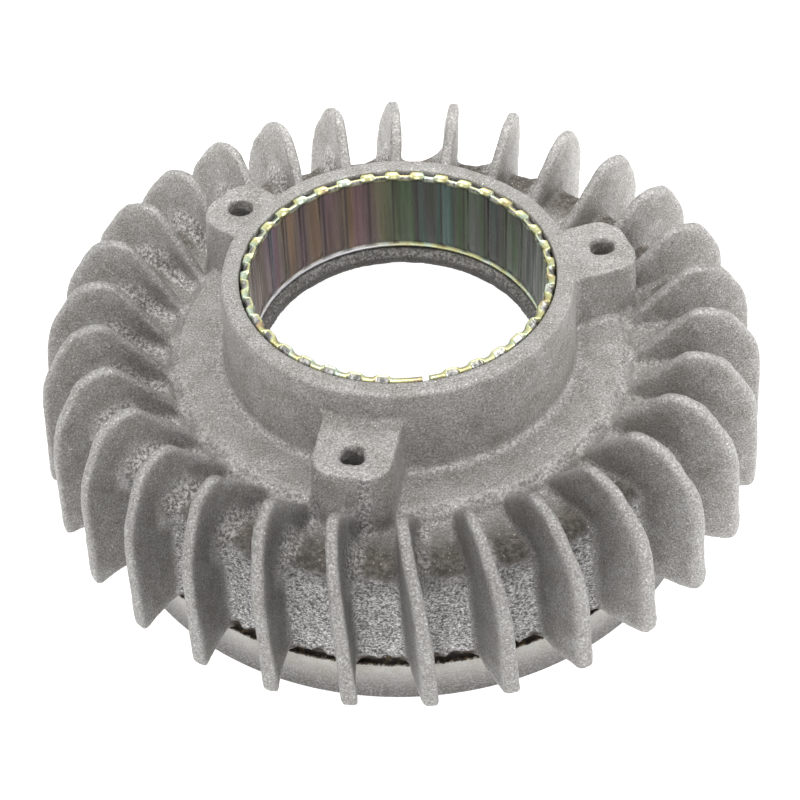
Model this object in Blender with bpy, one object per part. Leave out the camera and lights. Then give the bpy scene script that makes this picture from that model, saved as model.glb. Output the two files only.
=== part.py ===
"""Finned flywheel of a small engine, with the tolerance ring in its hub and a steel rim ring.

A bell-shaped aluminium casting carries a raised hub, three screw lugs and thirty curved blades.
A plain ring is pressed up into its skirt, and an open corrugated spring strip lines the bore.
Metres, +Z up along the shaft. The origin is on the axis, level with the rim ring's lower face.
"""

from math import cos, pi, radians, sin, sqrt, tan

import bmesh
import bpy
from mathutils import Matrix, Vector

# Driving sizes
OUTER_RADIUS = 0.0889        # blade tips
TOTAL_HEIGHT = 0.0663        # hub's top face
CLEARANCE = 0.0003           # between neighbouring pieces
ROUND_STEPS = 60             # facets round a turned piece

# Hub and web of the casting
BORE_RADIUS = 0.0375         # seat of the tolerance ring
SEAT_HEIGHT = 0.0428         # ledge that the tolerance ring stands on
LIP_RADIUS = 0.0334          # clear way through the casting
LIP_CHAMFER = 0.0016
LIP_BOTTOM = 0.0384
HUB_TOP_RADIUS = 0.0419
HUB_FOOT_RADIUS = 0.0429
HUB_EDGE = 0.0012            # rounding of the hub's top edges
BORE_MOUTH = 0.0003          # break of the bore's upper edge
WEB_FOOT = 0.0428            # where the hub's wall meets the web
FOOT_FILLET = 0.0011         # bevel in that corner
WEB_CREST_RADIUS = 0.0552    # the web ends here and drops between the blades
WEB_CREST = 0.0432
CREST_FALL = 0.0007          # rounding of the web's outer edge
CREST_WIDTH = 0.0015

# Shoulder and skirt of the casting
VALLEY_RADIUS = 0.0574
VALLEY = 0.0394
VALLEY_FILLET = 0.0012
SHOULDER_RADIUS = 0.0695     # the shoulder's rounding starts here
SHOULDER_TOP = 0.0425
SHOULDER_FALL = 0.0044       # height of the rounding down to the skirt
SKIRT_TOP_RADIUS = 0.0736
SKIRT_RADIUS = 0.0755        # at the foot of its draft
SKIRT_BOTTOM = 0.0154        # the wall ends here, above a narrow stained groove
GROOVE_RADIUS = 0.0746
GROOVE_BEVEL = 0.0005
CASTING_BOTTOM = 0.0132
SKIRT_BORE = 0.0700
UNDERSIDE = 0.0345
UNDERSIDE_FILLET = 0.0035
UNDERSIDE_BOSS = (0.0430, 0.0480)    # radii of the slope from the lip down to the underside

# Blades
BLADES = 30
FIRST_BLADE = radians(-99.1)
BLADE_LEAN = radians(-2.5)   # tilt from the upright
BLADE_REACH = 0.0300         # from the tip in to where the slope meets the web
BLADE_SWEEP = 0.00145        # how far the root trails behind a radial line through the tip
BLADE_CAMBER = 0.0019        # bow of the blade between the two, seen from above
BLADE_BOTTOM = 0.0132
BLADE_TOP = 0.0577
BLADE_UPRIGHT = (0.0873, 0.0425)    # radius and height where the outer edge's facets meet
BLADE_FACET = (0.0780, 0.0555)
BLADE_SHOULDER = 0.0168      # the tip is upright below this
BLADE_CORNER = 0.0022        # rounding of the lower outer corner
PEAK_OUTER_RADIUS = 0.0740
PEAK_INNER_RADIUS = 0.0720
PEAK_ROUNDING = 0.0051
BLADE_SLOPE = radians(49.4)  # inner edge, down to the web
BLADE_ROOT_RADIUS = 0.0535
BLADE_ROOT_TOP = 0.0427      # level with the web
BLADE_FOOT_RADIUS = 0.0716   # inside the skirt's wall
BLADE_BURIED = 0.0370        # inside the web's thickness
THICKNESS_LOW = 0.0041
THICKNESS_TOP = 0.0030

# Screw lugs
LUGS = 3
FIRST_LUG = radians(-102.5)
LUG_TOP = 0.0580
LUG_REACH = 0.0595
LUG_HALF_WIDTH = 0.0094
LUG_CORNER = 0.0066
LUG_DRAFT = 0.0008           # how far the lug grows on each side by its foot
LUG_ROOT_RADIUS = 0.0400
LUG_FOOT = 0.0380
HOLE_CIRCLE_RADIUS = 0.0525
HOLE_RADIUS = 0.0025
HOLE_DEPTH = 0.0140

# Rim ring
RIM_RADIUS = 0.0750
RIM_BAND_TOP = 0.0127
RIM_SPIGOT_BORE = 0.0665
RIM_SPIGOT_TOP = 0.0240
RIM_FLARE_TOP = 0.0125       # below the spigot the bore widens
RIM_FLARE_BOTTOM = 0.0045
RIM_LOWER_BORE = 0.0731
RIM_CHAMFER = 0.0004

# Tolerance ring
STRIP_THICKNESS = 0.0008
STRIP_TOP = 0.0661
WAVES = 35
WAVE_HEIGHT = 0.0015
WAVE_PITCH = radians(9.85)
WAVE_STEPS = (0.0, 0.0, 0.2, 0.9, 1.0, 0.9, 0.2, 0.0)    # rise along one wave
STRIP_GAP = radians(2.7)
STRIP_GAP_AT = radians(-81.3)
FIRST_WAVE = radians(-76.7)  # start of the first wave, close to the gap
FLAT_BAND = 0.0030           # plain band along the strip's lower edge
WAVE_START = 0.0016          # height in which the waves grow out of that band


def material(name, colour, roughness, metallic):
    made = bpy.data.materials.new(name)
    made.use_nodes = True
    shader = made.node_tree.nodes["Principled BSDF"]
    shader.inputs["Base Color"].default_value = (*colour, 1.0)
    shader.inputs["Roughness"].default_value = roughness
    shader.inputs["Metallic"].default_value = metallic
    made.diffuse_color = (*colour, 1.0)
    return made


def add_object(name, vertices, faces, finish=None):
    mesh = bpy.data.meshes.new(name)
    mesh.from_pydata(vertices, [], faces)
    work = bmesh.new()
    work.from_mesh(mesh)
    bmesh.ops.recalc_face_normals(work, faces=work.faces)
    work.to_mesh(mesh)
    work.free()
    mesh.shade_smooth()
    mesh.set_sharp_from_angle(angle=radians(32.0))
    made = bpy.data.objects.new(name, mesh)
    bpy.context.scene.collection.objects.link(made)
    if finish is not None:
        mesh.materials.append(finish)
    return made


def arc(centre, radius, start, end, steps):
    """Points on an arc in the radius-height plane, from start to end degrees."""
    across, up = radius if isinstance(radius, tuple) else (radius, radius)
    turns = [radians(start + (end - start) * step / steps) for step in range(steps + 1)]
    return [(centre[0] + across * cos(turn), centre[1] + up * sin(turn)) for turn in turns]


def turned(name, outline, finish=None):
    """A ring turned about Z from a closed outline of (radius, height) points."""
    count = len(outline)
    vertices = []
    for step in range(ROUND_STEPS):
        turn = 2.0 * pi * step / ROUND_STEPS
        vertices += [(radius * cos(turn), radius * sin(turn), height) for radius, height in outline]
    faces = []
    for step in range(ROUND_STEPS):
        this = step * count
        following = (step + 1) % ROUND_STEPS * count
        for corner in range(count):
            after = (corner + 1) % count
            faces.append((this + corner, following + corner, following + after, this + after))
    return add_object(name, vertices, faces, finish)


def ladder(sections, corners):
    """Faces of a solid that runs through several sections with the same number of corners."""
    last = (sections - 1) * corners
    faces = [tuple(range(corners)), tuple(last + corner for corner in reversed(range(corners)))]
    for section in range(sections - 1):
        this = section * corners
        for corner in range(corners):
            after = (corner + 1) % corners
            faces.append((this + corner, this + after, this + corners + after, this + corners + corner))
    return faces


def joined(name, solids):
    """One object out of several separate solids."""
    vertices = []
    faces = []
    for solid_vertices, solid_faces in solids:
        start = len(vertices)
        vertices += solid_vertices
        faces += [tuple(start + index for index in face) for face in solid_faces]
    return add_object(name, vertices, faces)


def boolean(target, tool, operation):
    tool.hide_render = True
    tool.display_type = "WIRE"
    cut = target.modifiers.new(tool.name, "BOOLEAN")
    cut.object = tool
    cut.operation = operation
    cut.solver = "EXACT"


def bell_outline():
    """Section of the casting without its blades and lugs, down the outside and up the inside."""
    shoulder_size = (SKIRT_TOP_RADIUS - SHOULDER_RADIUS, SHOULDER_FALL)
    shoulder_centre = (SHOULDER_RADIUS, SHOULDER_TOP - SHOULDER_FALL)
    inner_corner = (SKIRT_BORE - UNDERSIDE_FILLET, UNDERSIDE - UNDERSIDE_FILLET)
    hub_edge_centre = (HUB_TOP_RADIUS - HUB_EDGE, TOTAL_HEIGHT - HUB_EDGE)
    outline = [(BORE_RADIUS + BORE_MOUTH, TOTAL_HEIGHT)]
    outline += arc(hub_edge_centre, HUB_EDGE, 90.0, 0.0, 3)
    outline.append((HUB_FOOT_RADIUS, WEB_FOOT + FOOT_FILLET))
    outline.append((HUB_FOOT_RADIUS + FOOT_FILLET, WEB_FOOT))
    outline.append((WEB_CREST_RADIUS - CREST_WIDTH, WEB_CREST))
    outline.append((WEB_CREST_RADIUS, WEB_CREST - CREST_FALL))
    outline.append((VALLEY_RADIUS - VALLEY_FILLET, VALLEY + VALLEY_FILLET))
    outline.append((VALLEY_RADIUS, VALLEY))
    outline += arc(shoulder_centre, shoulder_size, 100.0, 0.0, 5)
    outline.append((SKIRT_RADIUS, SKIRT_BOTTOM))
    outline.append((GROOVE_RADIUS, SKIRT_BOTTOM - GROOVE_BEVEL))
    outline.append((GROOVE_RADIUS, CASTING_BOTTOM))
    outline.append((SKIRT_BORE, CASTING_BOTTOM))
    outline += arc(inner_corner, UNDERSIDE_FILLET, 0.0, 90.0, 3)
    outline.append((UNDERSIDE_BOSS[1], UNDERSIDE))
    outline.append((UNDERSIDE_BOSS[0], LIP_BOTTOM))
    outline.append((LIP_RADIUS, LIP_BOTTOM))
    outline.append((LIP_RADIUS, SEAT_HEIGHT - LIP_CHAMFER))
    outline.append((LIP_RADIUS + LIP_CHAMFER, SEAT_HEIGHT))
    outline.append((BORE_RADIUS, SEAT_HEIGHT))
    outline.append((BORE_RADIUS, TOTAL_HEIGHT - BORE_MOUTH))
    return outline


def blade_radii():
    """Distances from the axis of a blade's sections, from its buried root out to its tip."""
    rounding_start = PEAK_INNER_RADIUS - PEAK_ROUNDING * sin(BLADE_SLOPE)
    slope_end = OUTER_RADIUS - BLADE_REACH
    radii = [BLADE_ROOT_RADIUS, slope_end, 0.5 * (slope_end + rounding_start), rounding_start]
    radii += [BLADE_FOOT_RADIUS - CLEARANCE, BLADE_FOOT_RADIUS]
    radii += [PEAK_OUTER_RADIUS, BLADE_FACET[0], 0.5 * (BLADE_FACET[0] + BLADE_UPRIGHT[0])]
    radii += [OUTER_RADIUS - BLADE_CORNER, BLADE_UPRIGHT[0]]
    steps = 3
    for step in range(1, steps + 1):
        outward = sin(0.5 * pi * step / steps)
        radii.append(BLADE_UPRIGHT[0] + (OUTER_RADIUS - BLADE_UPRIGHT[0]) * outward)
    return radii


def blade_top(radius):
    """Height of a blade's upper edge: slope, rounding, short level crest, then three flat facets."""
    corners = ((PEAK_OUTER_RADIUS, BLADE_TOP), BLADE_FACET, BLADE_UPRIGHT, (OUTER_RADIUS, BLADE_SHOULDER))
    for inner, outer in zip(corners, corners[1:]):
        if inner[0] < radius <= outer[0]:
            share = (radius - inner[0]) / (outer[0] - inner[0])
            return inner[1] + (outer[1] - inner[1]) * share
    inward = max(0.0, PEAK_INNER_RADIUS - radius)
    rounding = PEAK_ROUNDING * sin(BLADE_SLOPE)
    if inward <= rounding:
        return BLADE_TOP - PEAK_ROUNDING + sqrt(PEAK_ROUNDING ** 2 - inward ** 2)
    slope_start = BLADE_TOP - PEAK_ROUNDING * (1.0 - cos(BLADE_SLOPE))
    return max(BLADE_ROOT_TOP, slope_start - tan(BLADE_SLOPE) * (inward - rounding))


def blade_bottom(radius):
    """Height of its lower edge, rounded at the tip and hidden in the casting at the root."""
    if radius < BLADE_FOOT_RADIUS:
        return BLADE_BURIED
    beyond = max(0.0, radius - (OUTER_RADIUS - BLADE_CORNER))
    return BLADE_BOTTOM + BLADE_CORNER - sqrt(max(0.0, BLADE_CORNER ** 2 - beyond ** 2))


def blade(turn):
    """A blade at this turn, bowed in plan, leaning over and thinner at its top."""
    outward = Vector((cos(turn), sin(turn), 0.0))
    across = Vector((-sin(turn), cos(turn), 0.0))
    vertices = []
    for radius in blade_radii():
        inward = (OUTER_RADIUS - radius) / BLADE_REACH
        bow = -BLADE_SWEEP * inward - BLADE_CAMBER * 4.0 * inward * (1.0 - inward)
        low = blade_bottom(radius)
        high = blade_top(radius)
        for height, side in ((low, -0.5), (high, -0.5), (high, 0.5), (low, 0.5)):
            share = (height - BLADE_BOTTOM) / (BLADE_TOP - BLADE_BOTTOM)
            thickness = THICKNESS_LOW + (THICKNESS_TOP - THICKNESS_LOW) * share
            aside = bow + tan(BLADE_LEAN) * (height - BLADE_BOTTOM) + side * thickness
            point = radius * outward + aside * across
            vertices.append((point.x, point.y, height))
    return vertices, ladder(len(vertices) // 4, 4)


def lug(turn):
    """A round-ended tab that stands out from the hub's wall, a little wider at its foot."""
    levels = []
    for height, spread in ((LUG_FOOT, LUG_DRAFT), (LUG_TOP, 0.0)):
        half = LUG_HALF_WIDTH + spread
        corner = (LUG_REACH + spread - LUG_CORNER, half - LUG_CORNER)
        plan = [(LUG_ROOT_RADIUS, -half)]
        plan += arc((corner[0], -corner[1]), LUG_CORNER, -90.0, 0.0, 4)
        plan += arc(corner, LUG_CORNER, 0.0, 90.0, 4)
        plan.append((LUG_ROOT_RADIUS, half))
        spin = Matrix.Rotation(turn, 3, "Z")
        levels.append([tuple(spin @ Vector((x, y, height))) for x, y in plan])
    return levels[0] + levels[1], ladder(2, len(levels[0]))


def lug_hole(turn):
    """Blind screw hole, down from the lug's top."""
    sides = 16
    centre = HOLE_CIRCLE_RADIUS * Vector((cos(turn), sin(turn), 0.0))
    levels = []
    for height in (LUG_TOP - HOLE_DEPTH, LUG_TOP + 0.0010):
        level = []
        for side in range(sides):
            angle = 2.0 * pi * side / sides
            spoke = HOLE_RADIUS * Vector((cos(angle), sin(angle), 0.0))
            level.append((centre.x + spoke.x, centre.y + spoke.y, height))
        levels.append(level)
    return levels[0] + levels[1], ladder(2, len(levels[0]))


def rim_outline():
    """Section of the ring: a spigot inside the skirt over a plain band with a wider bore."""
    spigot_radius = SKIRT_BORE - CLEARANCE
    return [
        (RIM_RADIUS - RIM_CHAMFER, RIM_BAND_TOP),
        (RIM_RADIUS, RIM_BAND_TOP - RIM_CHAMFER),
        (RIM_RADIUS, RIM_CHAMFER),
        (RIM_RADIUS - RIM_CHAMFER, 0.0),
        (RIM_LOWER_BORE, 0.0),
        (RIM_LOWER_BORE, RIM_FLARE_BOTTOM),
        (RIM_SPIGOT_BORE, RIM_FLARE_TOP),
        (RIM_SPIGOT_BORE, RIM_SPIGOT_TOP),
        (spigot_radius - RIM_CHAMFER, RIM_SPIGOT_TOP),
        (spigot_radius, RIM_SPIGOT_TOP - RIM_CHAMFER),
        (spigot_radius, RIM_BAND_TOP),
    ]


def strip_turns():
    """Turn and wave share, 0 to 1, of each point along the open strip."""
    points = [(STRIP_GAP_AT + 0.5 * STRIP_GAP, 0.0)]
    steps = len(WAVE_STEPS)
    for wave in range(WAVES):
        for step, share in enumerate(WAVE_STEPS):
            points.append((FIRST_WAVE + WAVE_PITCH * (wave + step / steps), share))
    plain_start = points[-1][0] + WAVE_PITCH / steps
    plain_end = STRIP_GAP_AT + 2.0 * pi - 0.5 * STRIP_GAP
    plain_steps = 3
    for step in range(plain_steps + 1):
        points.append((plain_start + (plain_end - plain_start) * step / plain_steps, 0.0))
    return points


def tolerance_strip(finish):
    """Open ring of corrugated strip: plain along its lower edge, waves bulging inward above it."""
    bottom = SEAT_HEIGHT + CLEARANCE
    wave_bottom = bottom + FLAT_BAND
    levels = ((bottom, 0.0), (wave_bottom, 0.0), (wave_bottom + WAVE_START, 1.0), (STRIP_TOP, 1.0))
    outside = BORE_RADIUS - CLEARANCE
    section = [(0.0, height, share) for height, share in levels]
    section += [(STRIP_THICKNESS, height, share) for height, share in reversed(levels)]
    vertices = []
    for turn, wave in strip_turns():
        for depth, height, share in section:
            radius = outside - depth - WAVE_HEIGHT * wave * share
            vertices.append((radius * cos(turn), radius * sin(turn), height))
    count = len(section)
    rows = len(vertices) // count
    faces = []
    for row in range(rows - 1):
        for corner in range(count):
            after = (corner + 1) % count
            this = row * count
            following = this + count
            faces.append((this + corner, following + corner, following + after, this + after))
    for start in (0, (rows - 1) * count):
        for pair in range(count // 2 - 1):
            low = start + pair
            high = start + count - 1 - pair
            faces.append((low, low + 1, high - 1, high))
    return add_object("tolerance_ring", vertices, faces, finish)


def build():
    for old in list(bpy.data.objects):
        bpy.data.objects.remove(old, do_unlink=True)
    cast_aluminium = material("cast_aluminium", (0.55, 0.54, 0.52), 0.62, 0.75)
    turned_steel = material("turned_steel", (0.62, 0.61, 0.58), 0.38, 0.9)
    passivated_spring = material("passivated_spring", (0.62, 0.60, 0.34), 0.28, 1.0)

    casting = turned("fan_casting", bell_outline(), cast_aluminium)
    blade_turns = [FIRST_BLADE + 2.0 * pi * number / BLADES for number in range(BLADES)]
    lug_turns = [FIRST_LUG + 2.0 * pi * number / LUGS for number in range(LUGS)]
    boolean(casting, joined("blade_tool", [blade(turn) for turn in blade_turns]), "UNION")
    boolean(casting, joined("lug_tool", [lug(turn) for turn in lug_turns]), "UNION")
    boolean(casting, joined("hole_tool", [lug_hole(turn) for turn in lug_turns]), "DIFFERENCE")

    turned("rim_ring", rim_outline(), turned_steel)
    tolerance_strip(passivated_spring)


build()
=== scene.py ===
"""Visual model of the finned flywheel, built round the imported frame. Lengths here are in millimetres
until a mesh is made."""
from math import cos, pi, radians, sin, tan

import bpy
import numpy as np
from mathutils import Matrix, Vector


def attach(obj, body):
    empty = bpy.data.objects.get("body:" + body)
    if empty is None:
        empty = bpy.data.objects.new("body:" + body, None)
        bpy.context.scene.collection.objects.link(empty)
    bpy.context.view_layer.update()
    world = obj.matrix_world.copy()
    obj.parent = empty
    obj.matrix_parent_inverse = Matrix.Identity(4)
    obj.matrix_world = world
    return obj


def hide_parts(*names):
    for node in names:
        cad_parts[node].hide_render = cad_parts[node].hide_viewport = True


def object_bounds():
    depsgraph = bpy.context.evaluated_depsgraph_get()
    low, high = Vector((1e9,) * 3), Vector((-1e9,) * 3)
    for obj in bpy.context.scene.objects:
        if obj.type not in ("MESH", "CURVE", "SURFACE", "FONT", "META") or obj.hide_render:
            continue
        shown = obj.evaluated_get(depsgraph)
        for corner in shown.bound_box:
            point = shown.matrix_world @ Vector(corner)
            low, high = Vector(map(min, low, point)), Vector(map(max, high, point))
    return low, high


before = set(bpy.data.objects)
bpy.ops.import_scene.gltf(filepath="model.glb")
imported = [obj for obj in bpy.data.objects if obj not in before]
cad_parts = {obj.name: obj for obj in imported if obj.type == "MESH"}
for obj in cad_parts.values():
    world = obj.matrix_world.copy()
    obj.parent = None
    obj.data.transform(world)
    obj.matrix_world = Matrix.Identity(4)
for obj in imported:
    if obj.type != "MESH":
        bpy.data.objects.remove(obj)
cad_low, cad_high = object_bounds()

MM = 0.001

# ---- sizes ----------------------------------------------------------------------------------
# They are close to the CAD model's. The blades start a little larger, because the rounding and the
# roughness below take some away.
CLEARANCE = 0.3              # between neighbouring pieces

# hub, lip and web
TOP = 66.3
BORE = 37.5
BORE_BREAK = 0.3             # break of the bore's upper edge
SEAT = 42.8
LIP = 33.4
LIP_CHAMFER = 1.6
LIP_BOTTOM = 38.4
HUB_TOP_RADIUS = 41.9
HUB_FOOT_RADIUS = 42.9
HUB_EDGE = 1.0               # rounding of the hub's top edge
HUB_FILLET = 1.6
WEB = 43.0
WEB_EDGE = 52.8              # the web is level up to here
CREST_RADIUS = 53.0          # centre of the web's rounded outer edge
CREST_ROUNDING = 2.2
VALLEY_CENTRE = (57.8, 41.9)
VALLEY_ROUNDING = 1.9

# skirt and underside
SHOULDER_CENTRE = (69.5, 38.1)
SHOULDER_ROUNDING = (4.1, 4.4)
SKIRT_FOOT = (75.4, 15.4)
GROOVE = ((74.6, 14.9), (74.5, 13.25))
SKIRT_BORE = 70.0
UNDERSIDE = 34.5
UNDERSIDE_FILLET = 3.5
UNDERSIDE_BOSS = (43.0, 48.0)    # radii of the slope from the lip down to the underside

# blades
OUTER = 88.9
BLADES = 30
FIRST_BLADE = radians(-99.1)
BLADE_LEAN = tan(radians(-2.5))
BLADE_REACH = 30.0
BLADE_SWEEP = 1.45
BLADE_CAMBER = 1.9
BLADE_BOTTOM = 13.2
BLADE_TOP = 58.2
BLADE_CORNER = 2.0           # rounding of the lower outer corner
BLADE_SHOULDER = 16.8
BLADE_UPRIGHT = (87.4, 43.6)
BLADE_FACET = (79.2, 56.5)
FACET_SOFTNESS = 0.34        # share of each facet taken up by the rounding at its end
PEAK_OUTER = 74.0
PEAK_INNER = 72.0
PEAK_ROUNDING = 5.1
BLADE_SLOPE = radians(49.4)
BLADE_FOOT = 70.5            # inside the skirt's wall
BLADE_BURIED = 36.0          # inside the web's thickness
THICK_LOW = 4.2
THICK_TOP = 3.1

# lugs and their holes
LUGS = 3
FIRST_LUG = radians(-102.5)
LUG_TOP = 58.0
LUG_FOOT = 38.0
LUG_START = 20.0             # the rounded plan starts here, inside the bore,
LUG_ROOT = 40.0              # and is cut off here, inside the hub's wall
LUG_REACH = 59.6
LUG_HALF = 9.4
LUG_CORNER = 6.6
LUG_DRAFT = 0.8              # how far the lug grows on each side over its height
HOLE_CIRCLE = 52.5
HOLE = 2.5
HOLE_DEPTH = 14.0

# rim ring
RIM_RADIUS = 75.0
RIM_LOWER_BORE = 73.1
RIM_SPIGOT_BORE = 66.5
RIM_SPIGOT_RADIUS = 69.7
RIM_STEPS = 540

# tolerance ring
STRIP_OUTSIDE = BORE - CLEARANCE
STRIP_BOTTOM = SEAT + CLEARANCE
STRIP_TOP = 66.1
WAVES = 35
WAVE_PITCH = radians(9.85)
WAVE_STEPS = 24
FIRST_WAVE = radians(-76.7)
GAP_AT = radians(-81.3)
GAP = radians(2.7)

# grid of the casting's surface, and the tables of distances that it is filled from
STEP = 0.6
GRID_HALF = 90.0
GRID_BOTTOM = 12.0
GRID_HEIGHT = 55.2
TABLE_START = 28.0
TABLE_STEP = 0.2
RADII = np.arange(TABLE_START, 130.0, TABLE_STEP)

TURNS_OF_LUGS = [FIRST_LUG + number * 2.0 * pi / LUGS for number in range(LUGS)]


# ---- small tools ----------------------------------------------------------------------------
def smooth_min(a, b, size):
    """The smaller of two distances, with a fillet of this size where they meet."""
    share = np.maximum(size - np.abs(a - b), 0.0) / size
    return np.minimum(a, b) - share * share * size * 0.25


def smooth_max(a, b, size):
    """The larger of two distances, with a rounding of this size where they meet."""
    return -smooth_min(-a, -b, size)


def fade(low, high, value):
    """A smooth step from 0 at low to 1 at high, which may be the smaller of the two."""
    share = np.clip((value - low) / (high - low), 0.0, 1.0)
    return share * share * (3.0 - 2.0 * share)


def polygon_distance(points, across, up):
    """Signed distance to a closed polygon, negative inside, on a grid of across x up values."""
    x, y = np.meshgrid(across, up, indexing="ij")
    best = np.full(x.shape, 1e9)
    inside = np.zeros(x.shape, bool)
    count = len(points)
    for index in range(count):
        ax, ay = points[index]
        bx, by = points[(index + 1) % count]
        ex, ey = bx - ax, by - ay
        length = ex * ex + ey * ey
        if length < 1e-12:
            continue
        along = np.clip(((x - ax) * ex + (y - ay) * ey) / length, 0.0, 1.0)
        best = np.minimum(best, (x - ax - along * ex) ** 2 + (y - ay - along * ey) ** 2)
        crosses = ((ay > y) != (by > y))
        if ey != 0.0:
            inside ^= crosses & (x < ax + ex * (y - ay) / ey)
    return np.where(inside, -1.0, 1.0) * np.sqrt(best)


def arc(centre, size, start, end, steps):
    """Points of a circle's or an ellipse's arc between two angles in degrees."""
    across, up = size if isinstance(size, tuple) else (size, size)
    turns = [radians(start + (end - start) * step / steps) for step in range(steps + 1)]
    return [(centre[0] + across * cos(turn), centre[1] + up * sin(turn)) for turn in turns]


def rounded(before, corner, after, share, steps=5):
    """Points of the curve that replaces a corner, from this share of one side to this share of the next."""
    start = [c + share * (b - c) for b, c in zip(before, corner)]
    end = [c + share * (a - c) for a, c in zip(after, corner)]
    curve = []
    for step in range(steps + 1):
        t = step / steps
        curve.append(tuple((1.0 - t) ** 2 * s + 2.0 * t * (1.0 - t) * c + t * t * e
                           for s, c, e in zip(start, corner, end)))
    return curve


class Noise:
    """Smooth value noise on a repeating lattice, from 0 to 1, the same on every run."""
    cells = 64

    def __init__(self, seed):
        values = np.random.RandomState(seed).rand(self.cells, self.cells, self.cells)
        self.values = values.astype(np.float32)

    def __call__(self, points, size):
        scaled = points / size + 1000.0
        base = np.floor(scaled).astype(np.int64)
        share = (scaled - base).astype(np.float32)
        share = share * share * (3.0 - 2.0 * share)
        base %= self.cells
        after = (base + 1) % self.cells
        total = 0.0
        for dx in (0, 1):
            ix = (base, after)[dx][:, 0]
            wx = share[:, 0] if dx else 1.0 - share[:, 0]
            for dy in (0, 1):
                iy = (base, after)[dy][:, 1]
                wy = share[:, 1] if dy else 1.0 - share[:, 1]
                for dz in (0, 1):
                    iz = (base, after)[dz][:, 2]
                    wz = share[:, 2] if dz else 1.0 - share[:, 2]
                    total = total + self.values[ix, iy, iz] * wx * wy * wz
        return total


def quad_mesh(name, vertices, quads, body, finish, attributes):
    """A smooth piece from vertices in mm and quads, with one value per vertex for each attribute."""
    mesh = bpy.data.meshes.new(name)
    mesh.vertices.add(len(vertices))
    mesh.vertices.foreach_set("co", (np.asarray(vertices, np.float64) * MM).ravel())
    mesh.loops.add(4 * len(quads))
    mesh.loops.foreach_set("vertex_index", np.asarray(quads, np.int32).ravel())
    mesh.polygons.add(len(quads))
    mesh.polygons.foreach_set("loop_start", np.arange(0, 4 * len(quads), 4, dtype=np.int32))
    mesh.update(calc_edges=True)
    mesh.validate()
    mesh.shade_smooth()
    for key, values in attributes.items():
        layer = mesh.attributes.new(key, "FLOAT", "POINT")
        layer.data.foreach_set("value", np.asarray(values, np.float32))
    mesh.materials.append(finish)
    made = bpy.data.objects.new(name, mesh)
    bpy.context.scene.collection.objects.link(made)
    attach(made, body)
    return made


def swept(radius, height, turns):
    """Points of a section turned round the axis, with a radius and a height for each of its rows. The
    radius may differ from turn to turn."""
    return np.stack([radius * np.cos(turns)[:, None], radius * np.sin(turns)[:, None],
                     np.tile(height, (len(turns), 1))], 2)


def sweep_quads(turns, rows, closed):
    """Quads between neighbouring copies of a closed section of this many rows."""
    this = np.arange(turns if closed else turns - 1)[:, None] * rows + np.arange(rows)[None, :]
    following = (this + rows) % (turns * rows)
    return np.stack([this, following, np.roll(following, -1, 1), np.roll(this, -1, 1)], 2).reshape(-1, 4)


def end_caps(turns, rows):
    """Quads that close both ends of an open sweep, in a ladder across the section."""
    caps = []
    for base, direction in ((0, 1), ((turns - 1) * rows, -1)):
        for low in range((rows - 2) // 2):
            high = rows - 1 - low
            caps.append([base + row for row in (low, low + 1, high - 1, high)][::direction])
    return np.array(caps)


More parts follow.
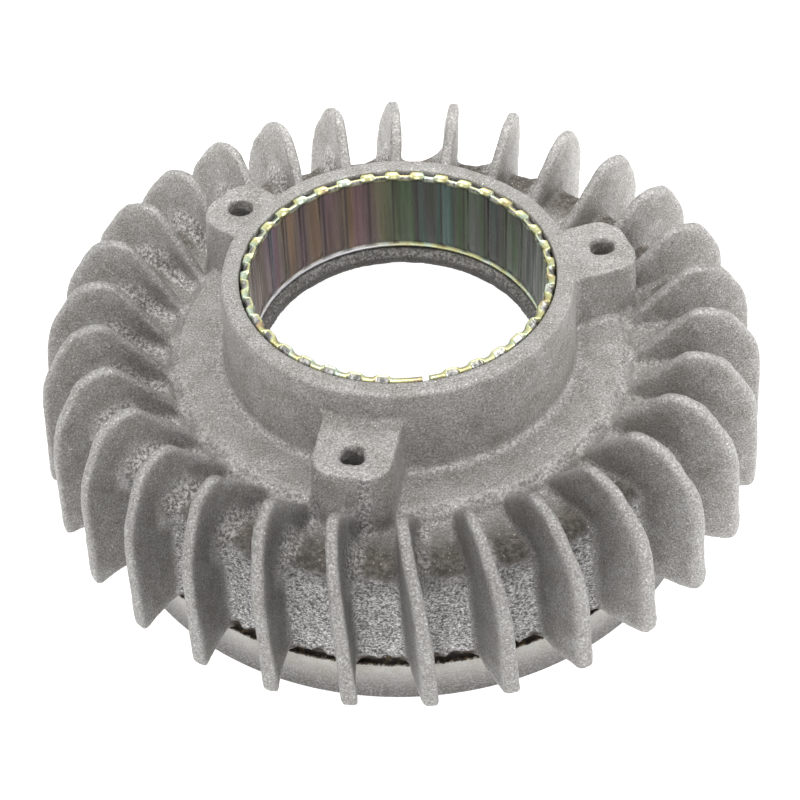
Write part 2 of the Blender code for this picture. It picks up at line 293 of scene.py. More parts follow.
# ---- materials ------------------------------------------------------------------------------
class Nodes:
    """Short names for building one material's node tree."""

    def __init__(self, name):
        self.material = bpy.data.materials.new(name)
        self.material.use_nodes = True
        self.tree = self.material.node_tree
        self.shader = self.tree.nodes["Principled BSDF"]
        self.place = self.tree.nodes.new("ShaderNodeTexCoord").outputs["Object"]

    def link(self, source, target):
        self.tree.links.new(source, target)

    def attribute(self, name):
        node = self.tree.nodes.new("ShaderNodeAttribute")
        node.attribute_name = name
        return node.outputs["Fac"]

    def noise(self, size, detail, rough, place=None):
        node = self.tree.nodes.new("ShaderNodeTexNoise")
        node.inputs["Scale"].default_value = 1.0 / (size * MM)
        node.inputs["Detail"].default_value = detail
        node.inputs["Roughness"].default_value = rough
        self.link(place or self.place, node.inputs["Vector"])
        return node.outputs["Fac"]

    def stretched(self, x, y, z):
        """Object coordinates multiplied on each axis, for marks drawn out along one of them."""
        join = self.tree.nodes.new("ShaderNodeCombineXYZ")
        for key, factor in (("X", x), ("Y", y), ("Z", z)):
            self.link(self.math("MULTIPLY", self.coordinate(key), factor), join.inputs[key])
        return join.outputs["Vector"]

    def coordinate(self, axis):
        split = self.tree.nodes.new("ShaderNodeSeparateXYZ")
        self.link(self.place, split.inputs["Vector"])
        return split.outputs[axis]

    def cells(self, size):
        node = self.tree.nodes.new("ShaderNodeTexVoronoi")
        node.inputs["Scale"].default_value = 1.0 / (size * MM)
        self.link(self.place, node.inputs["Vector"])
        return node.outputs["Distance"]

    def ramp(self, value, low, high, start=0.0, end=1.0):
        node = self.tree.nodes.new("ShaderNodeMapRange")
        node.interpolation_type = "SMOOTHSTEP"
        for key, number in (("From Min", low), ("From Max", high), ("To Min", start), ("To Max", end)):
            node.inputs[key].default_value = number
        self.link(value, node.inputs["Value"])
        return node.outputs["Result"]

    def math(self, operation, a, b=None):
        node = self.tree.nodes.new("ShaderNodeMath")
        node.operation = operation
        for index, value in enumerate((a, b)):
            if value is None:
                continue
            if isinstance(value, (int, float)):
                node.inputs[index].default_value = value
            else:
                self.link(value, node.inputs[index])
        return node.outputs["Value"]

    def tinted(self, colour, tint):
        return self.mix(1.0, colour, tint, "MULTIPLY")

    def mix(self, share, a, b, blend="MIX"):
        node = self.tree.nodes.new("ShaderNodeMix")
        node.data_type = "RGBA"
        node.blend_type = blend
        for key, value in (("Factor", share), ("A", a), ("B", b)):
            kind = "VALUE" if key == "Factor" else "RGBA"
            socket = [s for s in node.inputs if s.name == key and s.type == kind][0]
            if isinstance(value, (int, float)):
                socket.default_value = value
            elif isinstance(value, tuple):
                socket.default_value = (*value, 1.0)
            else:
                self.link(value, socket)
        return [s for s in node.outputs if s.type == "RGBA"][0]

    def colours(self, value, stops):
        node = self.tree.nodes.new("ShaderNodeValToRGB")
        ramp = node.color_ramp
        while len(ramp.elements) < len(stops):
            ramp.elements.new(0.5)
        for element, (position, colour) in zip(ramp.elements, stops):
            element.position = position
            element.color = (*colour, 1.0)
        self.link(value, node.inputs["Fac"])
        return node.outputs["Color"]

    def bump(self, height, distance, strength=1.0, before=None):
        node = self.tree.nodes.new("ShaderNodeBump")
        node.inputs["Distance"].default_value = distance * MM
        node.inputs["Strength"].default_value = strength
        self.link(height, node.inputs["Height"])
        if before is not None:
            self.link(before, node.inputs["Normal"])
        return node.outputs["Normal"]

    def set(self, **values):
        names = {"colour": "Base Color", "roughness": "Roughness", "metallic": "Metallic",
                 "normal": "Normal", "specular": "Specular IOR Level"}
        for key, value in values.items():
            socket = self.shader.inputs[names[key]]
            if isinstance(value, tuple):
                socket.default_value = (*value, 1.0)
            elif isinstance(value, (int, float)):
                socket.default_value = value
            else:
                self.link(value, socket)
        return self.material


def casting_finish():
    """Sand-cast aluminium: grain, coarse walls and worn blade edges, with painted glints, painted shade in
    brown on the slot floors, painted highlights on crests and fillets, painted shade in the bore and a
    painted shadow at the joint.
    """
    n = Nodes("sand_cast_aluminium")
    grain = n.noise(0.45, 5.0, 0.74)
    mottle = n.noise(6.0, 4.0, 0.6)
    colour = n.colours(grain, ((0.34, (0.165, 0.159, 0.152)), (0.465, (0.315, 0.307, 0.296)),
                               (0.56, (0.430, 0.421, 0.407)), (0.68, (0.70, 0.69, 0.675))))
    colour = n.mix(n.ramp(mottle, 0.35, 0.7), colour, n.tinted(colour, (0.80, 0.78, 0.755)))
    flank = n.attribute("flank")
    colour = n.mix(n.math("MULTIPLY", flank, 0.6), colour, n.tinted(colour, (0.80, 0.80, 0.79)))
    edge = n.attribute("edge")
    worn = n.colours(n.noise(0.6, 5.0, 0.75), ((0.34, (0.13, 0.126, 0.12)), (0.5, (0.275, 0.269, 0.258)),
                                               (0.66, (0.70, 0.69, 0.67))))
    colour = n.mix(n.math("MULTIPLY", edge, 0.6), colour, worn)
    # painted shade: the slot floors between the blades are darkened to a dark brown
    floor = n.attribute("floor")
    brown = n.colours(n.noise(1.1, 5.0, 0.7), ((0.32, (0.050, 0.042, 0.034)), (0.5, (0.120, 0.104, 0.088)),
                                               (0.68, (0.29, 0.265, 0.235))))
    colour = n.mix(n.math("MULTIPLY", floor, 0.9), colour, brown)
    # painted highlight: near-white grains on crests, fillets, the hub's foot and the lip's chamfer
    painted_highlight = n.attribute("painted_highlight")
    bright = n.colours(n.noise(0.75, 5.0, 0.75), ((0.42, (0.12, 0.115, 0.11)), (0.52, (0.42, 0.41, 0.395)),
                                                  (0.60, (0.90, 0.89, 0.87))))
    colour = n.mix(n.math("MULTIPLY", painted_highlight, 0.7), colour, bright)
    wall = n.attribute("wall")
    coarse = n.noise(0.62, 6.0, 0.75, n.stretched(1.0, 1.0, 1.4))
    speckle = n.colours(coarse, ((0.36, (0.045, 0.043, 0.042)), (0.43, (0.19, 0.186, 0.182)),
                                 (0.50, (0.44, 0.433, 0.428)), (0.62, (0.98, 0.97, 0.96))))
    hollows = n.ramp(n.noise(1.25, 5.0, 0.7, n.stretched(1.0, 1.0, 1.6)), 0.535, 0.60, 0.0, 0.85)
    speckle = n.mix(hollows, speckle, (0.075, 0.072, 0.070))
    colour = n.mix(wall, colour, speckle)
    # painted shade: the lip inside the bore is darkened, and it gets fewer glints
    bore = n.attribute("bore")
    colour = n.mix(bore, colour, n.tinted(colour, (0.26, 0.255, 0.245)))
    # painted shadow: near-black brown where the gap at the joint with the rim lies
    joint_shadow = n.attribute("joint_shadow")
    joint_shadow_colour = n.colours(n.noise(0.8, 4.0, 0.65), ((0.36, (0.010, 0.007, 0.005)), (0.52, (0.030, 0.020, 0.012)),
                                               (0.66, (0.15, 0.095, 0.045)), (0.75, (0.30, 0.23, 0.12))))
    colour = n.mix(joint_shadow, colour, joint_shadow_colour)
    # painted glints: sparse near-white specks, fewer in the bore
    specks = n.ramp(n.cells(0.62), 0.30, 0.16)
    pick = n.ramp(n.noise(1.3, 4.0, 0.7), 0.55, 0.62)
    painted_glints = n.math("MULTIPLY", n.math("MULTIPLY", specks, pick), n.ramp(bore, 0.0, 1.0, 0.9, 0.2))
    colour = n.mix(painted_glints, colour, (0.95, 0.95, 0.94))
    pits = n.ramp(n.noise(0.75, 4.0, 0.7), 0.62, 0.68)
    colour = n.mix(n.math("MULTIPLY", pits, 0.6), colour, (0.07, 0.066, 0.062))
    # painted light and shade: a factor on the colour that depends on position
    colour = n.tinted(colour, n.attribute("painted_light_tone"))
    rough = n.ramp(grain, 0.3, 0.7, 0.60, 0.36)
    height = n.math("ADD", n.math("MULTIPLY", grain, 0.8), n.math("MULTIPLY", n.noise(0.2, 2.0, 0.6), 0.2))
    normal = n.bump(height, 0.3)
    normal = n.bump(n.math("MULTIPLY", coarse, wall), 0.3, 1.0, normal)
    return n.set(colour=colour, roughness=rough, metallic=n.ramp(joint_shadow, 0.0, 1.0, 0.5, 0.0), normal=normal)


def rim_finish():
    """Smooth turned steel with painted shade that darkens it towards its lower edge, a painted shadow at the
    joint and painted light that makes the lower bore bright.
    """
    n = Nodes("turned_steel_rim")
    marks = n.noise(0.35, 3.0, 0.6, n.stretched(0.06, 0.06, 1.0))
    cloud = n.noise(5.0, 5.0, 0.6)
    grain = n.noise(0.5, 4.0, 0.65)
    # painted shade: darker towards the lower edge
    level = n.math("ADD", n.coordinate("Z"), n.math("MULTIPLY", cloud, 0.004))
    level = n.ramp(level, 0.0015, 0.0150)
    colour = n.colours(level, ((0.0, (0.085, 0.081, 0.077)), (0.30, (0.155, 0.150, 0.144)),
                               (0.65, (0.270, 0.263, 0.250)), (1.0, (0.400, 0.390, 0.365))))
    colour = n.mix(n.ramp(cloud, 0.40, 0.65), colour, n.tinted(colour, (0.82, 0.80, 0.77)))
    colour = n.mix(n.ramp(grain, 0.42, 0.68, 0.0, 0.35), colour, (0.55, 0.54, 0.52))
    colour = n.mix(n.ramp(marks, 0.45, 0.7, 0.0, 0.08), colour, (0.75, 0.74, 0.72))
    spots = n.ramp(n.noise(1.0, 4.0, 0.7), 0.64, 0.72, 0.0, 0.5)
    colour = n.mix(spots, colour, (0.12, 0.10, 0.08))
    # painted shadow of the gap at the joint, on the outer face only
    joint = n.math("ADD", n.coordinate("Z"), n.math("MULTIPLY", n.noise(1.4, 4.0, 0.7), 0.0022))
    joint = n.math("MULTIPLY", n.ramp(joint, 0.0129, 0.0133), n.attribute("outside"))
    joint_shadow_colour = n.colours(n.noise(1.2, 4.0, 0.65), ((0.40, (0.012, 0.009, 0.007)), (0.56, (0.040, 0.028, 0.018)),
                                               (0.66, (0.20, 0.14, 0.07))))
    colour = n.mix(joint, colour, joint_shadow_colour)
    # painted light: the lower bore and the spigot are near white and mirror-like
    painted_bright_bore = n.attribute("painted_bright_bore")
    colour = n.mix(painted_bright_bore, colour, (0.96, 0.96, 0.955))
    normal = n.bump(marks, 0.012)
    normal = n.bump(grain, 0.05, 1.0, normal)
    return n.set(colour=colour, roughness=n.ramp(painted_bright_bore, 0.0, 1.0, 0.5, 0.16),
                 metallic=n.ramp(painted_bright_bore, 0.0, 1.0, 0.4, 1.0), normal=normal)


def strip_finish():
    """Yellow-passivated spring steel: pale shoulders; a painted reflection in the open pockets; an inner
    face whose dark, tinted colours are a painted reflection, with painted shade between the waves and a
    painted highlight on its foot at the left.
    """
    n = Nodes("yellow_passivated_spring")
    upright = n.stretched(1.0, 1.0, 0.05)
    streak = n.noise(8.0, 1.0, 0.5, upright)
    fine = n.noise(1.3, 3.0, 0.6, upright)
    # painted reflection: the inner face's dark colours run from maroon and brown at the left to green and
    # teal at the right
    left_reflection = n.colours(streak, ((0.34, (0.17, 0.095, 0.105)), (0.44, (0.20, 0.135, 0.095)),
                              (0.52, (0.135, 0.105, 0.085)), (0.60, (0.165, 0.10, 0.13)),
                              (0.68, (0.12, 0.16, 0.20))))
    right_reflection = n.colours(streak, ((0.34, (0.12, 0.13, 0.115)), (0.44, (0.085, 0.115, 0.070)),
                              (0.52, (0.085, 0.080, 0.078)), (0.60, (0.075, 0.125, 0.100)),
                              (0.68, (0.115, 0.165, 0.155))))
    sideways = n.coordinate("X")
    dark = n.mix(n.ramp(sideways, -0.014, 0.004), left_reflection, right_reflection)
    dark = n.mix(n.ramp(fine, 0.42, 0.64, 0.0, 0.35), dark, n.tinted(dark, (0.45, 0.46, 0.44)))
    # painted shade: near black in the folds between the waves
    dark = n.mix(n.attribute("crease_shade"), n.tinted(dark, (0.80, 0.80, 0.80)), (0.045, 0.040, 0.038))
    tint = n.noise(5.0, 2.0, 0.6)
    pale = n.colours(tint, ((0.32, (0.60, 0.47, 0.28)), (0.42, (0.66, 0.65, 0.31)),
                            (0.52, (0.70, 0.72, 0.42)), (0.60, (0.56, 0.70, 0.54)),
                            (0.70, (0.80, 0.82, 0.72))))
    colour = n.mix(n.attribute("inside"), pale, dark)
    # painted highlight: silver on the foot, on the left side only
    foot_highlight = n.math("MULTIPLY", n.attribute("foot"), n.ramp(sideways, 0.006, -0.010))
    colour = n.mix(foot_highlight, colour, (0.70, 0.69, 0.72))
    # painted reflection: grey steel in the open pockets
    pocket_reflection = n.colours(fine, ((0.40, (0.24, 0.24, 0.23)), (0.60, (0.80, 0.80, 0.78))))
    colour = n.mix(n.attribute("pocket_sheen"), colour, pocket_reflection)
    rough = n.ramp(fine, 0.3, 0.7, 0.20, 0.38)
    return n.set(colour=colour, roughness=rough, metallic=0.85, normal=n.bump(fine, 0.03))


# ---- the casting ----------------------------------------------------------------------------
def bell_outline():
    """Section through hub, lip, web and skirt, as radius and height."""
    outline = [(BORE + BORE_BREAK, TOP)]
    outline += arc((HUB_TOP_RADIUS - HUB_EDGE, TOP - HUB_EDGE), HUB_EDGE, 90.0, 0.0, 5)
    outline += arc((HUB_FOOT_RADIUS + HUB_FILLET, WEB + 1.4), HUB_FILLET, 180.0, 262.0, 5)
    outline += [(WEB_EDGE, WEB + 0.1)]
    outline += arc((CREST_RADIUS, WEB - 2.1), CREST_ROUNDING, 90.0, 24.0, 5)
    outline += arc(VALLEY_CENTRE, VALLEY_ROUNDING, 200.0, 285.0, 5)
    outline += arc(SHOULDER_CENTRE, SHOULDER_ROUNDING, 103.0, 0.0, 8)
    outline += [SKIRT_FOOT, *GROOVE, (SKIRT_BORE, GROOVE[-1][1])]
    corner = (SKIRT_BORE - UNDERSIDE_FILLET, UNDERSIDE - UNDERSIDE_FILLET)
    outline += arc(corner, UNDERSIDE_FILLET, 0.0, 90.0, 5)
    outline += [(UNDERSIDE_BOSS[1], UNDERSIDE), (UNDERSIDE_BOSS[0], LIP_BOTTOM), (LIP, LIP_BOTTOM)]
    outline += [(LIP, SEAT - LIP_CHAMFER), (LIP + LIP_CHAMFER, SEAT), (BORE, SEAT), (BORE, TOP - BORE_BREAK)]
    return outline


def blade_side():
    """A blade seen from its side, as radius and height."""
    peak = (PEAK_OUTER, BLADE_TOP)
    tip = (OUTER, BLADE_SHOULDER)
    outline = [(BLADE_FOOT, BLADE_BOTTOM)]
    outline += arc((OUTER - BLADE_CORNER, BLADE_BOTTOM + BLADE_CORNER), BLADE_CORNER, -90.0, 0.0, 6)
    outline += [tip]
    outline += rounded(tip, BLADE_UPRIGHT, BLADE_FACET, FACET_SOFTNESS)
    outline += rounded(BLADE_UPRIGHT, BLADE_FACET, peak, FACET_SOFTNESS)
    outline += [peak]
    crest = (PEAK_INNER, BLADE_TOP - PEAK_ROUNDING)
    outline += arc(crest, PEAK_ROUNDING, 90.0, 90.0 + np.degrees(BLADE_SLOPE), 8)
    start = outline[-1]
    run = (start[1] - BLADE_BURIED) / tan(BLADE_SLOPE)
    outline += [(start[0] - run, BLADE_BURIED), (BLADE_FOOT, BLADE_BURIED)]
    return outline


def blade_aside(radius, height):
    """How far a blade's middle lies to the left of the radial line through its foot, looking outward."""
    inward = (OUTER - radius) / BLADE_REACH
    bow = -BLADE_SWEEP * inward - BLADE_CAMBER * 4.0 * inward * (1.0 - inward)
    return bow + BLADE_LEAN * (height - BLADE_BOTTOM)


def blade_half(height):
    """Half of a blade's thickness."""
    taper = THICK_TOP - THICK_LOW
    return 0.5 * (THICK_LOW + taper * (height - BLADE_BOTTOM) / (BLADE_TOP - BLADE_BOTTOM))


def blade_places(x, y, height):
    """Radius along the nearest blade, and distance across from its middle."""
    radius = np.sqrt(x * x + y * y)
    turn = np.arctan2(y, x)
    shift = blade_aside(radius, height) / np.maximum(radius, 1.0)
    number = np.round((turn - FIRST_BLADE - shift) * BLADES / (2.0 * pi))
    centre = FIRST_BLADE + number * 2.0 * pi / BLADES
    along = radius * np.cos(turn - centre)
    across = radius * np.sin(turn - centre)
    return along, across - blade_aside(along, height)


def fillet_growth(radius, across, height):
    """Extra size of the fillet between a slot's floor and the blade at its clockwise end."""
    growth = 6.5 * fade(0.0, 1.5, across) * fade(61.0, 68.0, radius)
    return growth * fade(81.0, 76.0, radius) * fade(33.0, 41.0, height)


def lug_distance(x, y, height):
    """Distances to the lugs and to their holes."""
    best = np.full(x.shape, 1e3)
    holes = np.full(x.shape, 1e3)
    for turn in TURNS_OF_LUGS:
        along = x * cos(turn) + y * sin(turn)
        across = -x * sin(turn) + y * cos(turn)
        draft = LUG_DRAFT * np.maximum(LUG_TOP - height, 0.0) / (LUG_TOP - LUG_FOOT)
        half_length = 0.5 * (LUG_REACH - LUG_START)
        qx = np.abs(along - 0.5 * (LUG_START + LUG_REACH)) - (half_length + draft - LUG_CORNER)
        qy = np.abs(across) - (LUG_HALF + draft - LUG_CORNER)
        plan = np.sqrt(np.maximum(qx, 0.0) ** 2 + np.maximum(qy, 0.0) ** 2)
        plan = plan + np.minimum(np.maximum(qx, qy), 0.0) - LUG_CORNER
        plan = np.maximum(plan, LUG_ROOT - along)
        best = np.minimum(best, smooth_max(plan, np.maximum(height - LUG_TOP, LUG_FOOT - height), 0.6))
        rim = np.sqrt((along - HOLE_CIRCLE) ** 2 + across ** 2) - HOLE
        holes = np.minimum(holes, np.maximum(rim, LUG_TOP - HOLE_DEPTH - height))
    return best, holes


def casting_field():
    """Distance to the casting's surface at every point of the grid."""
    low = np.array([-GRID_HALF, -GRID_HALF, GRID_BOTTOM])
    count = [int(2.0 * GRID_HALF / STEP) + 1, int(2.0 * GRID_HALF / STEP) + 1, int(GRID_HEIGHT / STEP) + 1]
    xs, ys, zs = [start + STEP * np.arange(number) for start, number in zip(low, count)]
    x, y = np.meshgrid(xs, ys, indexing="ij")
    radius = np.sqrt(x * x + y * y)
    bell_table = polygon_distance(bell_outline(), RADII, zs)
    side_table = polygon_distance(blade_side(), RADII, zs)
    field = np.empty(count, np.float32)
    for level, height in enumerate(zs):
        bell = np.interp(radius.ravel(), RADII, bell_table[:, level]).reshape(radius.shape)
        bell += np.maximum(TABLE_START - radius, 0.0)
        along, across = blade_places(x, y, height)
        side = np.interp(along.ravel(), RADII, side_table[:, level]).reshape(radius.shape)
        blade = smooth_max(np.abs(across) * 0.98 - blade_half(height), side, 1.2)
        body = smooth_min(bell, blade, 2.2 + fillet_growth(radius, across, height))
        lug, hole = lug_distance(x, y, height)
        body = smooth_min(body, lug, 2.2)
        if height > LIP_BOTTOM:
            body = np.maximum(body, (BORE if height > SEAT else LIP) - radius)
        field[:, :, level] = smooth_max(body, -hole, 0.7)
    return low, field


def roughen(low, field):
    """Unevenness of the cast surface: sunken all over but in the turned bore, torn on the walls between
    the blades, ragged at the joint with the rim and chipped round the lug holes."""
    near = np.argwhere(np.abs(field) < 1.6)
    points = low + STEP * near
    radius = np.hypot(points[:, 0], points[:, 1])
    height = points[:, 2]
    noise = Noise(11)
    second = Noise(12)
    _, across = blade_places(points[:, 0], points[:, 1], height)
    clear = np.abs(across) - blade_half(height)

    turned = fade(0.9, 0.2, np.abs(radius - BORE)) * fade(SEAT - 0.5, SEAT + 0.5, height)
    swell = noise(points, 6.0) * 0.26 + second(points, 2.2) * 0.16
    swell *= 1.0 - turned

    wall = fade(72.0, 73.0, radius) * fade(77.5, 76.5, radius)
    wall = wall * fade(42.2, 40.5, height) * fade(0.2, 1.0, clear)
    torn = (second(points, 1.3) * 0.5 + noise(points, 2.6) * 0.35 - 0.2) * wall

    edge = fade(2.4, 0.6, np.abs(height - 15.2)) * fade(73.5, 74.4, radius) * fade(0.0, 0.8, clear)
    edge *= fade(77.5, 76.5, radius)
    ragged = (noise(points * np.array([1.0, 1.0, 0.35]), 1.9) - 0.62) * 2.4 * edge

    hole = 1e3
    for turn in TURNS_OF_LUGS:
        centre = (HOLE_CIRCLE * cos(turn), HOLE_CIRCLE * sin(turn))
        hole = np.minimum(hole, np.hypot(points[:, 0] - centre[0], points[:, 1] - centre[1]))
    mouth = fade(HOLE + 1.2, HOLE + 0.1, hole)
    chipped = (second(points, 1.1) - 0.3) * 1.7 * mouth * fade(40.0, 46.0, height)

    field[tuple(near.T)] += (swell + torn + ragged + chipped).astype(np.float32)
    return field


def surface(low, field):
    """Vertices and quads of the field's zero surface."""
    inside = field < 0.0
    total = np.zeros(np.array(inside.shape) - 1, np.int8)
    corners = [(i, j, k) for i in (0, 1) for j in (0, 1) for k in (0, 1)]
    nx, ny, nz = total.shape
    for i, j, k in corners:
        total += inside[i:i + nx, j:j + ny, k:k + nz]
    active = (total > 0) & (total < 8)
    cells = np.argwhere(active)
    number = np.full(total.shape, -1, np.int32)
    number[active] = np.arange(len(cells))
    values = {c: field[cells[:, 0] + c[0], cells[:, 1] + c[1], cells[:, 2] + c[2]] for c in corners}
    places = np.zeros((len(cells), 3))
    crossings = np.zeros(len(cells))
    for start in corners:
        for axis in range(3):
            if start[axis]:
                continue
            end = tuple(1 if a == axis else start[a] for a in range(3))
            first, last = values[start], values[end]
            cross = (first < 0.0) != (last < 0.0)
            share = first[cross] / (first[cross] - last[cross])
            point = np.tile(np.array(start, float), (len(share), 1))
            point[:, axis] += share
            places[cross] += point
            crossings[cross] += 1.0
    vertices = low + STEP * (cells + places / crossings[:, None])
    quads = []
    for axis in range(3):
        b, c = (axis + 1) % 3, (axis + 2) % 3
        moved = np.moveaxis(inside, axis, 0)
        changed = np.moveaxis(moved[:-1] != moved[1:], 0, axis)
        at = np.argwhere(changed)
        size = np.array(inside.shape)
        keep = (at[:, b] > 0) & (at[:, c] > 0) & (at[:, b] < size[b] - 1) & (at[:, c] < size[c] - 1)
        at = at[keep]
        ring = []
        for db, dc in ((-1, -1), (0, -1), (0, 0), (-1, 0)):
            cell = at.copy()
            cell[:, b] += db
            cell[:, c] += dc
            ring.append(number[tuple(cell.T)])
        ring = np.stack(ring, 1)
        outward = inside[tuple(at.T)]
        ring[~outward] = ring[~outward][:, ::-1]
        quads.append(ring)
    return vertices, np.concatenate(quads)


def depth_in_blade(along, height):
    """Distance from a blade's outline, negative inside it, read from a table."""
    bottom, step = 10.0, 0.5
    levels = np.arange(bottom, 70.0, step)
    table = polygon_distance(blade_side(), RADII, levels)
    column = np.clip((along - TABLE_START) / TABLE_STEP, 0, len(RADII) - 1).astype(int)
    row = np.clip((height - bottom) / step, 0, len(levels) - 1).astype(int)
    return table[column, row]


def casting_marks(vertices):
    """Where the casting is worn or coarse, and where shade, shadow and highlights are painted on it, from 0
    to 1 at each vertex, and a factor on its colour that paints light and shade."""
    x, y, z = vertices.T
    radius = np.hypot(x, y)
    along, across = blade_places(x, y, z)
    clear = np.abs(across) - blade_half(z)
    side = depth_in_blade(along, z)
    noise = Noise(13)

    on_blade = fade(1.2, 0.5, clear) * fade(0.8, 0.2, side)
    edge = on_blade * fade(-2.2, -0.5, side) * fade(43.0, 44.5, z + 40.0 * fade(74.0, 76.0, radius))
    flank = on_blade * fade(-1.0, -3.5, side)

    # the coarse walls between the blades, painted shade on the slot floors above them and more painted shade
    # in the front slots
    wall = fade(72.4, 73.4, radius) * fade(77.8, 77.0, radius) * fade(0.35, 0.75, clear)
    wall *= fade(42.6, 37.8, z + 3.2 * (noise(vertices, 1.6) - 0.5))
    # painted shade on the slot floors, stronger towards the skirt
    floor = (0.25 + 0.75 * fade(60.0, 69.0, radius)) * fade(55.5, 57.5, radius) * fade(76.6, 75.6, radius)
    floor *= fade(0.1, 1.2, clear) * fade(45.5, 43.8, z)
    floor *= 1.0 - wall
    floor *= fade(34.5, 38.0, z)
    # painted shade: darker in the slots at the front
    front_slot_shade = fade(67.0, 71.5, radius) * fade(76.6, 75.6, radius) * fade(33.0, 38.5, z) * fade(43.5, 42.0, z)
    front_slot_shade *= fade(0.0, 1.0, clear) * fade(20.0, -10.0, y) * noise(vertices, 5.0)

    # painted highlights: slot fillets, the web's crest, the hub's foot, the lip's chamfer and the blades'
    # roots
    painted_highlight = fade(0.0, 0.8, across) * fade(4.2, 2.6, clear) * fade(-0.2, 0.6, clear) * fade(36.5, 39.0, z)
    painted_highlight *= fade(56.0, 58.5, radius) * fade(77.5, 75.0, radius)
    ridge = radius - 54.6 - 1.2 * (noise(vertices, 2.6) - 0.5)
    crest = fade(2.0, 0.6, np.abs(ridge)) * fade(40.8, 41.6, z)
    painted_highlight = np.maximum(painted_highlight, 0.6 * crest * fade(44.6, 43.6, z))
    foot = fade(1.3, 0.5, np.abs(radius - HUB_FOOT_RADIUS - 0.9)) * fade(46.0, 44.6, z) * fade(41.0, 42.0, z)
    painted_highlight = np.maximum(painted_highlight, 0.65 * foot)
    chamfer = fade(33.2, 33.8, radius) * fade(35.8, 35.0, radius) * fade(40.6, 41.2, z) * fade(43.4, 43.0, z)
    painted_highlight = np.maximum(painted_highlight, chamfer)
    root = fade(2.4, 1.0, clear) * fade(-0.6, 0.2, clear) * fade(39.0, 41.0, z) * fade(47.0, 45.0, z)
    painted_highlight = np.maximum(painted_highlight, 0.6 * root * fade(54.0, 56.0, radius) * fade(66.0, 63.0, radius))

    # painted shade on the lip inside the bore, a little less on its chamfer
    bore = fade(37.0, 36.0, radius) * fade(42.9, 42.4, z) * (1.0 - 0.35 * chamfer)
    # painted shadow in the gap at the joint with the rim
    joint_shadow = fade(16.2, 15.1, z + 1.4 * (noise(vertices, 1.7) - 0.5)) * fade(76.6, 76.2, radius)
    joint_shadow *= fade(-0.2, 0.4, clear)

    # painted light and shade: lighter towards the rear and the right, on the sides of the hub and on the
    # blade flanks at the left, darker on the front blades, the front of the hub and the front slots
    front = fade(-30.0, -70.0, y)
    hub_wall = fade(45.0, 44.0, radius) * fade(44.5, 46.5, z) * fade(66.0, 65.4, z)
    painted_light_tone = 1.0 + 0.20 * fade(0.0, 50.0, y) + 0.24 * fade(45.0, 70.0, y) * on_blade
    painted_light_tone = painted_light_tone + 0.14 * fade(25.0, 50.0, x)
    hub_sides = fade(10.0, 35.0, np.abs(x))
    hub_front = fade(-20.0, -38.0, y) * fade(35.0, 15.0, np.abs(x))
    painted_light_tone += 0.12 * hub_wall * (hub_sides - hub_front)
    painted_light_tone -= (0.18 * flank + 0.12 * on_blade) * front
    painted_light_tone -= 0.55 * front_slot_shade
    painted_light_tone += 0.10 * flank * fade(-40.0, -70.0, x)
    return {"edge": edge, "flank": flank, "floor": floor, "wall": wall, "joint_shadow": joint_shadow, "painted_highlight": painted_highlight,
            "bore": bore, "painted_light_tone": painted_light_tone}


def casting():
    low, field = casting_field()
    vertices, quads = surface(low, roughen(low, field))
    vertices = np.clip(vertices, np.array(cad_low) / MM, np.array(cad_high) / MM)
    marks = casting_marks(vertices)
    return quad_mesh("fan_casting_skin", vertices, quads, "wheel", casting_finish(), marks)


# ---- the rim ring ---------------------------------------------------------------------------
def rim():
    """Plain band with a rounded foot, a bore that widens downwards and a spigot inside the skirt."""
    outline = arc((74.4, 12.1), 0.6, 90.0, 0.0, 4)
    outline += [(RIM_RADIUS, height) for height in (11.0, 9.0, 7.0, 5.0, 3.0, 1.8)]
    outline += arc((74.5, 0.5), 0.5, 0.0, -90.0, 4)
    outline += arc((73.5, 0.4), 0.4, -90.0, -180.0, 3)
    outline += [(RIM_LOWER_BORE, 2.5), (RIM_LOWER_BORE, 4.4), (71.0, 7.0), (68.5, 10.2), (66.6, 12.5)]
    outline += [(RIM_SPIGOT_BORE, 18.0)]
    outline += arc((67.1, 23.4), 0.6, 180.0, 90.0, 3)
    outline += arc((69.1, 23.4), 0.6, 90.0, 0.0, 3)
    outline += [(RIM_SPIGOT_RADIUS, 18.0), (RIM_SPIGOT_RADIUS, 12.7)]
    outline = np.array(outline)
    turns = 2.0 * pi * np.arange(RIM_STEPS) / RIM_STEPS
    vertices = swept(outline[:, 0], outline[:, 1], turns).reshape(-1, 3)
    radius = np.hypot(vertices[:, 0], vertices[:, 1])

    top = (vertices[:, 2] > 12.0) & (radius > 72.0)
    ragged = Noise(21)
    drop = 0.55 * ragged(vertices * np.array([1.0, 1.0, 0.0]), 2.2)
    vertices[:, 2] -= np.where(top, drop, 0.0)

    # where the lower bore and the spigot are painted bright
    painted_bright_bore = fade(73.4, 73.2, radius) * fade(12.6, 12.2, vertices[:, 2])
    quads = sweep_quads(RIM_STEPS, len(outline), closed=True)
    return quad_mesh("rim_ring_turned", vertices, quads, "wheel", rim_finish(),
                     {"painted_bright_bore": painted_bright_bore, "outside": fade(69.0, 72.0, radius)})


# ---- the tolerance ring ---------------------------------------------------------------------
def strip_turns():
    """Angles along the strip, from one side of its gap round to the other."""
    opening = np.linspace(GAP_AT + 0.5 * GAP, FIRST_WAVE, 5)[:-1]
    waves = [FIRST_WAVE + WAVE_PITCH * step / WAVE_STEPS for step in range(WAVES * WAVE_STEPS + 1)]
    closing = np.linspace(waves[-1], GAP_AT + 2.0 * pi - 0.5 * GAP, 14)[1:]
    return np.array([*opening, *waves, *closing])


